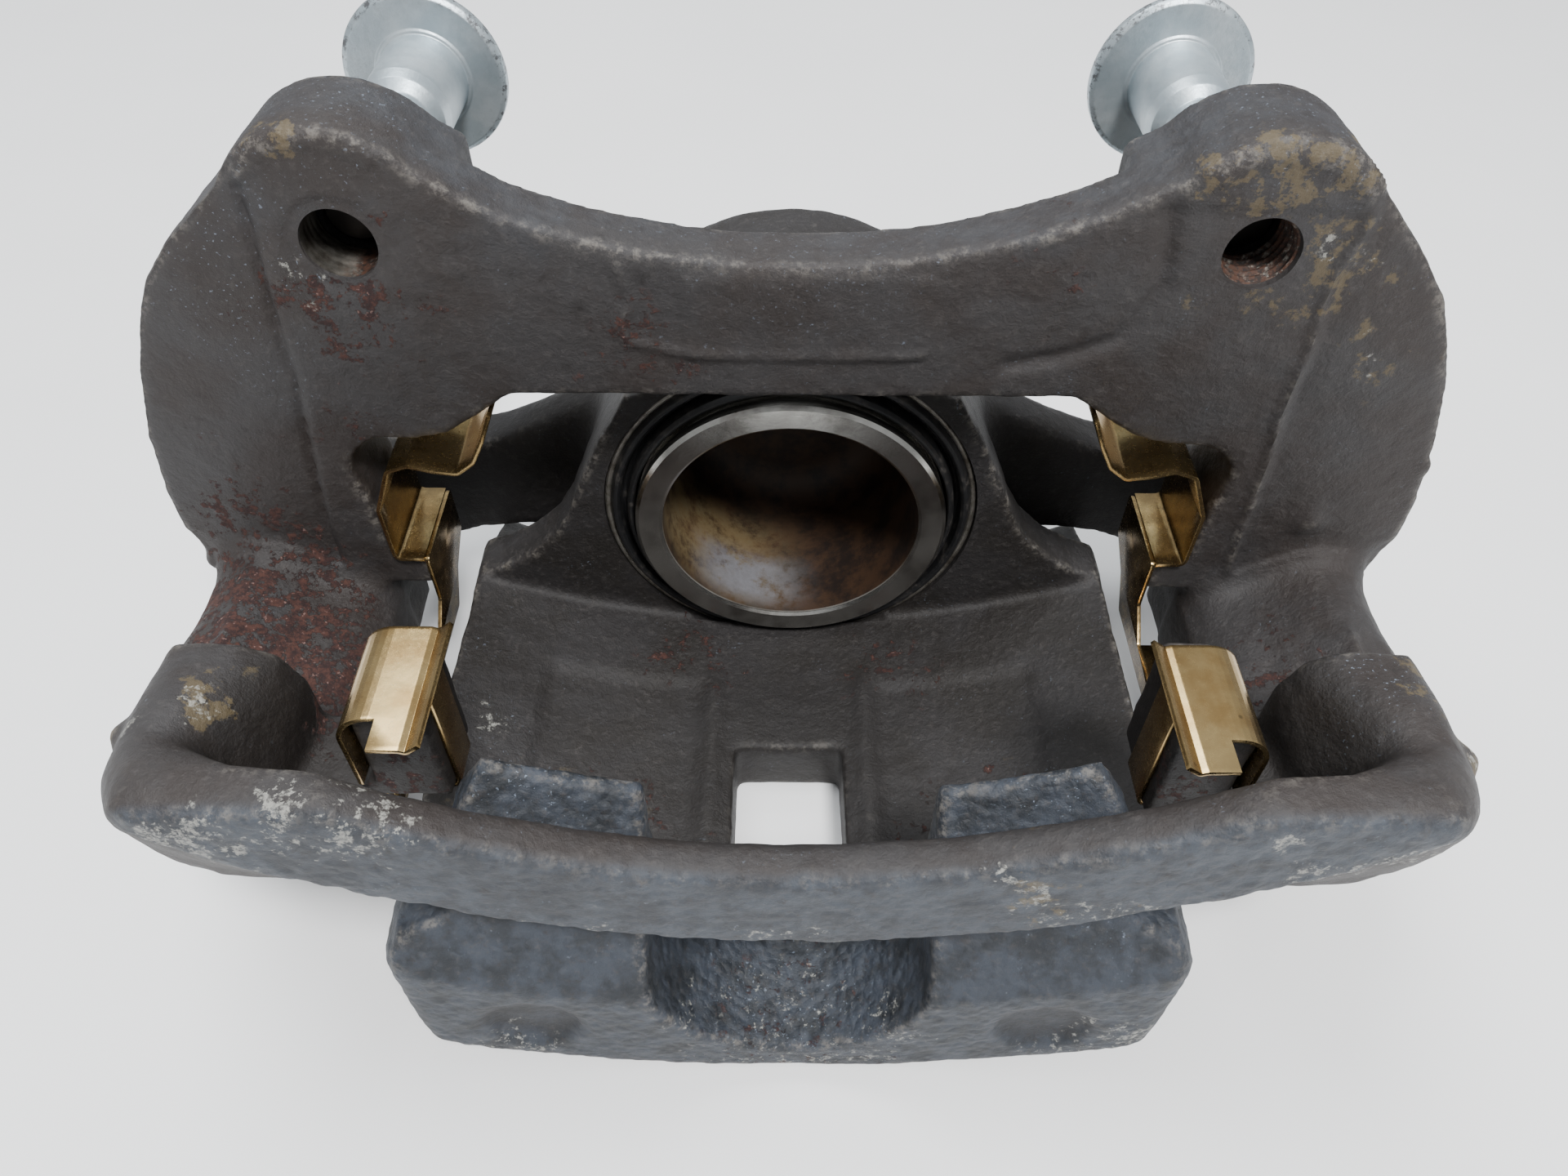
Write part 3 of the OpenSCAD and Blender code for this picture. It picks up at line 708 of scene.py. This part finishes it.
def paint_caliper(skin, dimple):
    """Rust, scuffs, stains, grains and shade, at given places."""
    skin.ragged()
    skin.paint("rust", skin.spots(
        (36, -54, -29, 22, 0.75), (-36, -54, -29, 22, 0.75), (22, -58, -28, 14, 0.8),
        (-22, -58, -28, 14, 0.8), (20, -8, -30, 14, 0.35), (-20, -6, -30, 14, 0.35),
        (48, -58, -26, 14, 0.5), (-48, -58, -26, 14, 0.5), (0, -84, -38, 26, 0.2),
        (40, 50, 0, 22, 0.5), (-30, 40, 25, 22, 0.4), (28, 50, 10, 18, 0.4)))
    skin.paint("scuff", skin.spots(
        (50, -85, -28, 8, 0.45), (56, -84, -30, 10, 0.5), (-20, -84, -27, 6, 0.5),
        (-46, -85, -28, 5, 0.4), (18, -85, -30, 8, 0.4), (-55, -30, -22, 7, 0.5),
        (-50, -48, -20, 9, 0.45), (52, -50, -20, 9, 0.4), (40, -61, 7, 7, 0.4), (-44, -61, 6, 7, 0.4),
        (0, -85, -44, 24, 0.3), (-50, -84, -40, 16, 0.3), (50, -84, -40, 16, 0.3)))
    skin.paint("stain", skin.spots((44, -58, -24, 26, 0.4), (-44, -58, -24, 26, 0.4)))
    skin.paint("speck", 0.9 * skin.spots(
        (-44, -62, 4, 22, 0.8), (44, -62, 4, 22, 0.8), (50, -46, -20, 12, 0.7),
        (-52, -44, -20, 12, 0.7), (0, -80, -34, 24, 0.5)))
    skin.straight()
    # painted shade on the bridge's inside, near the window
    under = between(np.hypot(skin.co[:, 0], skin.co[:, 2] - WHEEL_Z), 150, 161, 1.5)
    under = under * between(skin.co[:, 1], -62, -14, 8)
    skin.paint("shade", 0.55 * under * (1 - smoothstep(14, 30, np.abs(skin.co[:, 0]))))
    skin.paint("blue", 0.95 * between(skin.co[:, 1], -90, -61.5, 1.2) * (1 - 0.45 * dimple))


def caliper():
    """The housing's casting, with its bore, groove, boot seat and port cut last."""
    plug = rod((0, 0), 30.8, 4.6, 47, 96)
    seat = revolve("seat_fill", [(29, 4.55), (37, 4.55), (37, 17), (29, 17)], (0, 0), 96, closed=True)
    obj = cast_body("caliper_casting", "housing", [plug, seat], 0.75)
    skin = Skin(obj)
    dimple = shape_caliper(skin)
    edge_paint(skin)
    paint_caliper(skin, dimple)
    boot_seat = [(BOOT_SEAT_R + 0.55, 3), (BOOT_SEAT_R, 4.2), (BOOT_SEAT_R, 9)]
    groove = [(BORE_R, 12), (GROOVE_R, 12), (GROOVE_R, 16.2), (BORE_R, 16.2)]
    bore = [(0, 3)] + boot_seat + [(BORE_R, 9)] + groove + [(BORE_R, 46), (0, 46)]
    port = [(0, 51), (5.0, 51), (5.0, 59.2), (6.6, 61.5), (0, 61.5)]
    combine(obj, revolve("bore", bore, (0, 0), 128), "DIFFERENCE")
    combine(obj, revolve("port", port, PORT, 48), "DIFFERENCE")
    return dress(sharpen(obj, 50), "housing_iron", "caliper", "housing")


# ---------------------------------------------------------------- threads, bolts and pins

def ridge(angle, y, pitch):
    """Height of a thread's ridge, 0 to 1, at an angle and a place along it."""
    t = (y / pitch - angle / (2 * math.pi)) % 1.0
    return min(1.0, max(0.0, 1.35 * (1 - abs(2 * t - 1)) - 0.1))


def turn_rows(r, front, back, pitch):
    """Rows of (radius, y) along a thread, eight to a turn."""
    rows = int((back - front) / (pitch / 8))
    return [(r, front + (back - front) * k / rows) for k in range(rows + 1)]


def threaded(name, at, outer, depth, pitch, front, back, segs):
    """A solid threaded shank with its first turns fading out at both ends."""
    def radius(angle, r, y):
        if r < outer - 1e-6:
            return r
        ends = min(1.0, max(0.0, (y - front) / pitch)) * min(1.0, max(0.0, (back - y) / pitch))
        return outer - depth * (1 - ridge(angle, y, pitch) * ends)

    point = [(0, front - 0.9), (outer - depth - 0.9, front - 0.9)]
    return revolve(name, point + turn_rows(outer, front, back, pitch) + [(0, back)], at, segs, warp=radius)


def hexagon(name, at, flats, front, back, chamfer, both_ends=False):
    """A hexagon head whose corners are turned off at its end, or at both ends."""
    apothem = flats / 2
    corner = apothem / math.cos(math.pi / 6)

    def radius(angle, r, y):
        a = (angle + math.pi / 6) % (math.pi / 3) - math.pi / 6
        flat = apothem / math.cos(a)
        return min(flat * (r / corner), r) if r < apothem else min(flat, r)

    end = [(corner, back - chamfer * 1.6), (apothem * 0.98, back)]
    start = [(apothem * 0.98, front), (corner, front + chamfer)] if both_ends else [(corner, front)]
    rows = [(0, front)] + start
    rows += [(corner, front + (back - front) * k / 6) for k in range(2, 5)] if not both_ends else []
    return revolve(name, rows + end + [(0, back)], at, 96, warp=radius)


def thread_insert(side):
    """The visible turns of an ear's thread, in front of the bolt's tip. The left one is nearly smooth."""
    at = EAR[side]
    root, outside, front, back = 5.9, 6.4, -6.9, 1.4
    height = 0.7 if side > 0 else 0.06

    def radius(angle, r, y):
        return r if r > root + 0.09 else root - height * ridge(angle, y, MOUNT_PITCH)

    outline = turn_rows(root, front, back, MOUNT_PITCH) + [(outside, back), (outside, front)]
    obj = revolve("ear_thread_" + HAND[side], outline, at, 72, closed=True, warp=radius)
    skin = Skin(obj)
    x, y, z = skin.co.T
    # the left insert's wall is rust-free and lighter steel on its left; the right insert is rusty all round
    rust_free = smoothstep(-1, -4.5, x - at[0] + 0.3 * (z - at[1])) if side < 0 else 0 * x
    skin.paint("rust", 1 - rust_free)
    return dress(obj, "pin_steel", "carrier")


def mounting_bolt(side):
    at = EAR[side]
    shank = threaded("shank", at, 5.95, 0.7, MOUNT_PITCH, 2.6, 30, 72)
    neck = [(0, 29), (5.2, 29.2), (5.3, 31), (7.0, 32.8), (7.6, 35), (7.75, 48.0), (8.3, 48.15),
            (8.6, 48.5)]
    flange = [(13.6, 48.55), (14.5, 49.3), (14.5, 50.9), (13.4, 51.6), (10.6, 52.9), (0, 53.0)]
    body = revolve("body", neck + flange, at, 128, radius=0.7)
    head = hexagon("head", at, 18.0, 52.4, 61.4, 1.2)
    dimple = revolve("dimple", [(0, 61.2), (6.2, 61.2), (6.6, 61.5), (0, 61.5)], at, 48)
    obj = join("mounting_bolt_piece_" + HAND[side], [shank, body, head, dimple])
    sharpen(obj, 40)
    skin = Skin(obj)
    x, y, z = skin.co.T
    r = np.hypot(x - at[0], z - at[1])
    skin.paint("edge", smoothstep(13.2, 13.9, r) + 0.5 * (y > 53))
    # painted shade on the shank's tip inside the ear's hole
    skin.paint("tip", smoothstep(9.5, 5, y))
    return dress(obj, "zinc_bolt", "carrier", "mounting_bolt_" + HAND[side])


def pin_bolt(side):
    at = PIN[side]
    shank = threaded("shank", at, 3.93, 0.5, PIN_PITCH, -1.0, 33, 40)
    flange = revolve("flange", [(0, 32), (8.4, 32.02), (8.4, 33.0), (6.9, 34.0),
                                (0, 34.0)], at, 96, radius=0.35)
    head = hexagon("head", at, 13.0, 33.6, 39.0, 0.8)
    obj = sharpen(join("pin_bolt_piece_" + HAND[side], [shank, flange, head]), 40)
    skin = Skin(obj)
    skin.paint("edge", smoothstep(0.002, 0.02, skin.convexity(1)))
    return dress(obj, "zinc_bolt", "caliper", "pin_bolt_" + HAND[side])


def guide_pin(side):
    """The right pin is thin where its rubber bush sits, from its full shank's end to its tip."""
    at = PIN[side]
    tip, thin_from = -36, -22
    end = thin_from if side > 0 else tip
    shank = [(0, end), (4.2, end), (4.98, end + 0.8), (4.98, 11.2), (4.3, 11.8), (4.3, 14.6), (6.6, 15.4),
             (6.8, 16.2), (0, 16.4)]
    parts = [revolve("shank", shank, at, 72)]
    if side > 0:
        thin = [(0, tip), (3.1, tip), (3.38, tip + 0.3), (3.38, thin_from + 1), (0, thin_from + 1)]
        parts.append(revolve("neck", thin, at, 48))
    parts.append(hexagon("hex", at, 12.4, 16.0, 20.2, 0.5, both_ends=True))
    parts.append(revolve("face", [(0, 20), (6.7, 20.0), (6.7, 20.98), (0, 20.98)], at, 64, radius=0.15))
    obj = join("guide_pin_piece_" + HAND[side], parts)
    return dress(sharpen(obj, 40), "pin_steel", "caliper", "guide_pin_" + HAND[side])


def pin_boot(side):
    """Rubber bellows from the arm's mouth to the groove behind the pin's collar."""
    x, z = PIN[side]
    outline = [(5.35, 11.6), (8.5, 11.6), (8.6, 12.4), (7.0, 12.7), (6.7, 13.0), (8.3, 13.4), (8.4, 13.8),
               (6.6, 14.2), (6.4, 14.5), (7.2, 14.8), (7.1, 15.4), (5.35, 15.4)]
    obj = revolve("pin_boot_piece_" + HAND[side], outline, (x, z), 72, closed=True, radius=0.25)
    dress(obj, "boot_rubber", None, "pin_boot_" + HAND[side])
    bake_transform(obj)
    return obj


def bleeder():
    thread = threaded("thread", BLEED, 3.93, 0.45, PIN_PITCH, 54.6, 61.8, 48)
    cone = revolve("cone", [(0, 51), (1.5, 51), (3.3, 54), (3.3, 55.5), (0, 55.5)], BLEED, 48)
    head = hexagon("hex", BLEED, 10.6, 61.4, 66.6, 0.7, both_ends=True)
    nipple = [(0, 66), (3.4, 66), (3.3, 68.2), (3.2, 69.8), (3.85, 71.0), (3.2, 73.4), (2.8, 73.9),
              (1.1, 73.9), (1.1, 70), (0, 70)]
    stem = revolve("stem", nipple, BLEED, 64, radius=0.2)
    obj = join("bleed_screw_piece", [thread, cone, head, stem])
    return dress(sharpen(obj, 40), "pin_steel", "bleeder", "bleed_screw")


def bleeder_cap():
    outer = [(4.05, 68.3), (5.3, 68.3), (5.5, 68.9), (5.0, 69.8), (5.0, 73.4), (5.4, 74.2), (5.4, 75.4),
             (4.6, 77.2), (0, 77.9)]
    inner = [(0, 75.2), (3.9, 75.0), (4.05, 68.3)]
    cap = revolve("bleed_cap_piece", outer + inner, BLEED, 72)
    return dress(cap, "boot_rubber", "cap", "bleed_cap")


# ---------------------------------------------------------------- piston and dust boot

def piston():
    """Cup-shaped piston, open towards the pads, with the boot's groove near its rim."""
    outline = [(24.75, 0.5), (25.3, 0.02), (29.2, 0.02), (29.9, 0.7), (PISTON_R, 2.4), (29.8, 2.7),
               (28.4, 2.8), (28.4, 5.2), (29.8, 5.4), (PISTON_R, 5.7), (PISTON_R, 42.5), (28.5, 44),
               (0, 44), (0, 38)]
    floor = [(r, 38) for r in (4, 8, 12, 16)]
    inside = [(19.7, 38), (22.4, 36.2), (24.2, 33.2), (24.7, 31)] + [(24.7, y) for y in range(29, 0, -2)]
    obj = revolve("piston_cup", outline + floor + inside + [(24.75, 0.5)], (0, 0), 160)
    skin = Skin(obj)
    x, y, z = skin.co.T
    r = np.hypot(x, z)
    within = ((r < 25.0) & (y > 0.9) & (y < 39)).astype(float)
    skin.paint("inside", within)
    # whitish and ochre stains inside the cup, partly painted light on its lower left, where the light falls
    low = smoothstep(-12, -22, z) * smoothstep(8, -8, x)
    skin.paint("chalk_and_light", within * low * between(y, 3, 15, 3))
    skin.paint("ochre_and_light", within * smoothstep(6, -14, x) * smoothstep(16, 2, z) * between(y, 3, 26, 5))
    return dress(sharpen(obj, 40), "piston_steel", "piston", "piston")


def dust_boot():
    """Folded boot: its bead sits in the housing, its lip in the piston's groove."""
    outline = [(36.3, 8.9), (36.3, 6.6), (35.6, 6.2), (35.0, 5.2), (34.5, 4.0), (33.8, 3.8), (33.2, 4.4),
               (32.9, 6.6), (32.4, 6.9), (31.9, 6.4), (31.7, 3.6), (31.1, 2.7), (30.5, 2.9),
               (30.35, 4.2), (30.6, 5.2), (31.0, 6.4), (31.3, 7.8), (31.9, 8.4), (33.2, 8.4),
               (34.0, 7.4), (34.4, 7.6), (34.4, 8.9)]
    obj = revolve("dust_boot_piece", outline, (0, 0), 160, closed=True, radius=0.35)
    dress(obj, "boot_rubber", None, "dust_boot")
    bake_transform(obj)
    return obj


# ---------------------------------------------------------------- pad clips

def bent_sheet(name, path, cuts, radius, keep=lambda along, j: True):
    """Sheet metal that follows a path in X and Z. cuts are the Y lines of its strips; keep(along, j) says
    whether strip j is there at a distance along the path."""
    pts = [np.array(p) for p in fillet(path, radius, steps=5)]
    pts = [p for i, p in enumerate(pts) if i == 0 or np.linalg.norm(p - pts[i - 1]) > 1e-4]
    n, m = len(pts), len(cuts)
    length = np.concatenate([[0], np.cumsum([np.linalg.norm(b - a) for a, b in zip(pts, pts[1:])])])
    verts, faces = [], []
    for sgn in (1, -1):
        for i, p in enumerate(pts):
            d = pts[min(i + 1, n - 1)] - pts[max(i - 1, 0)]
            d = d / np.linalg.norm(d)
            q = p + sgn * SHEET / 2 * np.array([-d[1], d[0]])
            verts += [(q[0], y, q[1]) for y in cuts]
    cell = {(i, j): keep(0.5 * (length[i] + length[i + 1]), j) for i in range(n - 1) for j in range(m - 1)}
    top = lambda i, j: i * m + j
    low = lambda i, j: n * m + i * m + j
    for (i, j), there in cell.items():
        if not there:
            continue
        faces.append((top(i, j), top(i + 1, j), top(i + 1, j + 1), top(i, j + 1)))
        faces.append((low(i, j), low(i, j + 1), low(i + 1, j + 1), low(i + 1, j)))
        for di, dj, a, b in ((-1, 0, (i, j), (i, j + 1)), (1, 0, (i + 1, j + 1), (i + 1, j)),
                             (0, -1, (i + 1, j), (i, j)), (0, 1, (i, j + 1), (i + 1, j + 1))):
            if not cell.get((i + di, j + dj)):
                faces.append((top(*a), top(*b), low(*b), low(*a)))
    return face_outwards(new_piece(name, verts, faces))


def flat_sheet(name, outline, x_mid):
    """Flat sheet in a plane of constant X, from an outline in Y and Z."""
    n = len(outline)
    verts = [(x_mid - SHEET / 2, y, z) for y, z in outline] + [(x_mid + SHEET / 2, y, z) for y, z in outline]
    faces = [tuple(range(n)), tuple(range(2 * n - 1, n - 1, -1))]
    faces += [(i, (i + 1) % n, n + (i + 1) % n, n + i) for i in range(n)]
    return face_outwards(new_piece(name, verts, faces))


def pad_clip(side):
    """One bent spring clip, built for the right side and mirrored for the left. Its channel lies in the
    inner pad's slot, its plate runs along the arm, and its saddle rests on the outer post."""
    sx, sy = CLIP_SHIFT[side]
    inner = 68.1
    end = -58 + sy
    channel_path = [(50.1, 34.6), (52.3, 29), (54.7, 24.4), (58, 21.8), (62.2, 22.4), (66.3, 23.6),
                    (70.1, 22.2), (73.9, 13), (73.9, 0.42), (68.6, 0.42)]
    channel = bent_sheet("channel", channel_path, (-9, -6, 7.5, 10.5), 1.6)
    outline = [(-9, 0.7), (10.5, 0.7), (10.5, -10), (3, -14), (-2, -20.2), (end, -20.2), (end, -15.8),
               (-15, -15.8), (-9, -10.5)]
    plate = flat_sheet("plate", [tuple(p) for p in fillet(outline, 1.2, closed=True)], inner)
    flange_path = [(inner, -17.4), (inner, -16.15), (inner + 3.4, -16.15)]
    flange = bent_sheet("flange", flange_path, (end + 2, -15), 0.8)
    x0 = 51.8 + sx
    top = 25.0
    riser_path = [(inner, -16), (inner - 0.8, -5), (62, 0.6), (x0, 0.6), (x0, top - 0.4)]
    riser = bent_sheet("riser", riser_path, (end, -51 + sy), 1.5)
    # the saddle starts in a small lip, goes over the post and turns down round its outer edge
    bend_x, bend_z, bend_r = 58.6 + sx, 19.6, 5.4
    saddle_path = [(x0 - 1.6, top + 1.2), (x0 - 0.7, top + 0.5), (x0 + 0.5, top - 0.4), (x0 + 1.5, top),
                   (bend_x - 1, top)]
    saddle_path += [(bend_x + bend_r * math.sin(math.radians(a)), bend_z + bend_r * math.cos(math.radians(a)))
                    for a in range(0, 91, 10)]
    saddle_path += [(bend_x + bend_r, 8.5)]
    saddle_cuts = [y + sy for y in (-68.1, -67.3, -62.9, -62.3, -46.8, -46.2)]
    front_strips, tab_length = (0, 1), 7.2
    saddle = bent_sheet("saddle", saddle_path, saddle_cuts, 0.5,
                        keep=lambda along, j: j not in front_strips or along < tab_length)
    obj = channel
    for other in (plate, flange, riser, saddle):
        combine(obj, other, "UNION")
    if side < 0:
        obj.data.transform(Matrix.Scale(-1, 4, (1, 0, 0)))
        face_outwards(obj)
    mod = obj.modifiers.new("edges", "BEVEL")
    mod.width = 0.16 * MM
    mod.segments = 2
    mod.limit_method = "ANGLE"
    mod.angle_limit = math.radians(50)
    mod.harden_normals = False
    apply_modifiers(obj)
    obj.name = "pad_clip_piece_" + HAND[side]
    skin = Skin(obj)
    _, y, z = skin.co.T
    # grime and painted shade: darker behind the frame's face and towards the bottom
    grime_and_shade = 0.35 * smoothstep(-12, -8, y) * smoothstep(24, 18, z) + 0.6 * smoothstep(0, -8, z)
    skin.paint("grime_and_shade", np.maximum(grime_and_shade, 0.45 * smoothstep(21, 15, z)))
    return dress(sharpen(obj, 30), "clip_steel", "carrier", "pad_clip_" + HAND[side])


# ---------------------------------------------------------------- camera, light and floor

def make_camera():
    """Looks down at the caliper from the wheel's side, at the photo's angle."""
    place = Vector((-1.6, -151.3, 150.3)) * MM
    pitch, yaw, roll = math.radians(47.8), math.radians(0.18), math.radians(0.57)
    forward = Vector((math.sin(yaw) * math.cos(pitch), math.cos(yaw) * math.cos(pitch), -math.sin(pitch)))
    right = Vector((math.cos(yaw), -math.sin(yaw), 0))
    up = right.cross(forward)
    cos, sin = math.cos(roll), math.sin(roll)
    right, up = cos * right + sin * up, cos * up - sin * right
    data = bpy.data.cameras.new("camera")
    data.sensor_width = 36
    data.lens = 25.3
    data.clip_start = 0.01
    cam = bpy.data.objects.new("camera", data)
    turn = Matrix((right, up, -forward)).transposed().to_4x4()
    cam.matrix_world = Matrix.Translation(place) @ turn
    bpy.context.scene.collection.objects.link(cam)
    bpy.context.scene.camera = cam


def area_light(name, place, size, power, colour):
    """A round soft light that faces the part."""
    data = bpy.data.lights.new(name, "AREA")
    data.shape = "DISK"
    data.size = size
    data.energy = power
    data.color = colour
    obj = bpy.data.objects.new(name, data)
    obj.location = place
    obj.rotation_euler = (-Vector(place)).to_track_quat("-Z", "Y").to_euler()
    bpy.context.scene.collection.objects.link(obj)


def make_stage():
    """White sky that is brighter overhead, two soft lights and a pale floor."""
    world = bpy.context.scene.world or bpy.data.worlds.new("world")
    bpy.context.scene.world = world
    world.use_nodes = True
    nodes, links = world.node_tree.nodes, world.node_tree.links
    back = nodes["Background"]
    back.inputs["Color"].default_value = (0.93, 0.96, 1.0, 1)
    height = nodes.new("ShaderNodeSeparateXYZ")
    links.new(nodes.new("ShaderNodeTexCoord").outputs["Generated"], height.inputs[0])
    fade = nodes.new("ShaderNodeMapRange")
    fade.inputs["From Min"].default_value = -0.1
    fade.inputs["From Max"].default_value = 1.0
    fade.inputs["To Min"].default_value = 0.28
    fade.inputs["To Max"].default_value = 0.85
    links.new(height.outputs["Z"], fade.inputs["Value"])
    links.new(fade.outputs["Result"], back.inputs["Strength"])
    area_light("key", (0.22, -0.55, 1.05), 0.28, 24, (1, 1, 1))
    area_light("top", (-0.3, 0.3, 1.2), 0.8, 14, (0.95, 0.98, 1.0))
    half = 3000
    corners = [(-half, -half, FLOOR_Z), (half, -half, FLOOR_Z), (half, half, FLOOR_Z),
               (-half, half, FLOOR_Z)]
    floor = new_piece("floor", corners, [(0, 1, 2, 3)])
    look = Look("floor", **{"Roughness": 0.55})
    look.set("Base Color", look.mix(look.noise(60, 3, 0.5), (0.84, 0.84, 0.84, 1), (0.90, 0.90, 0.90, 1)))
    floor.data.materials.append(look.mat)


make_camera()
make_stage()
carrier()
caliper()
for side in HAND:
    thread_insert(side)
    mounting_bolt(side)
    pin_bolt(side)
    guide_pin(side)
    pin_boot(side)
    pad_clip(side)
piston()
dust_boot()
bleeder()
bleeder_cap()
# these three are inside, and keep their CAD meshes
for node, look_name in (("piston_seal", "seal_rubber"), ("boot_set_ring", "pin_steel"),
                        ("pin_damper_bush", "seal_rubber")):
    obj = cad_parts[node]
    obj.data.materials.clear()
    obj.data.materials.append(LOOKS[look_name])
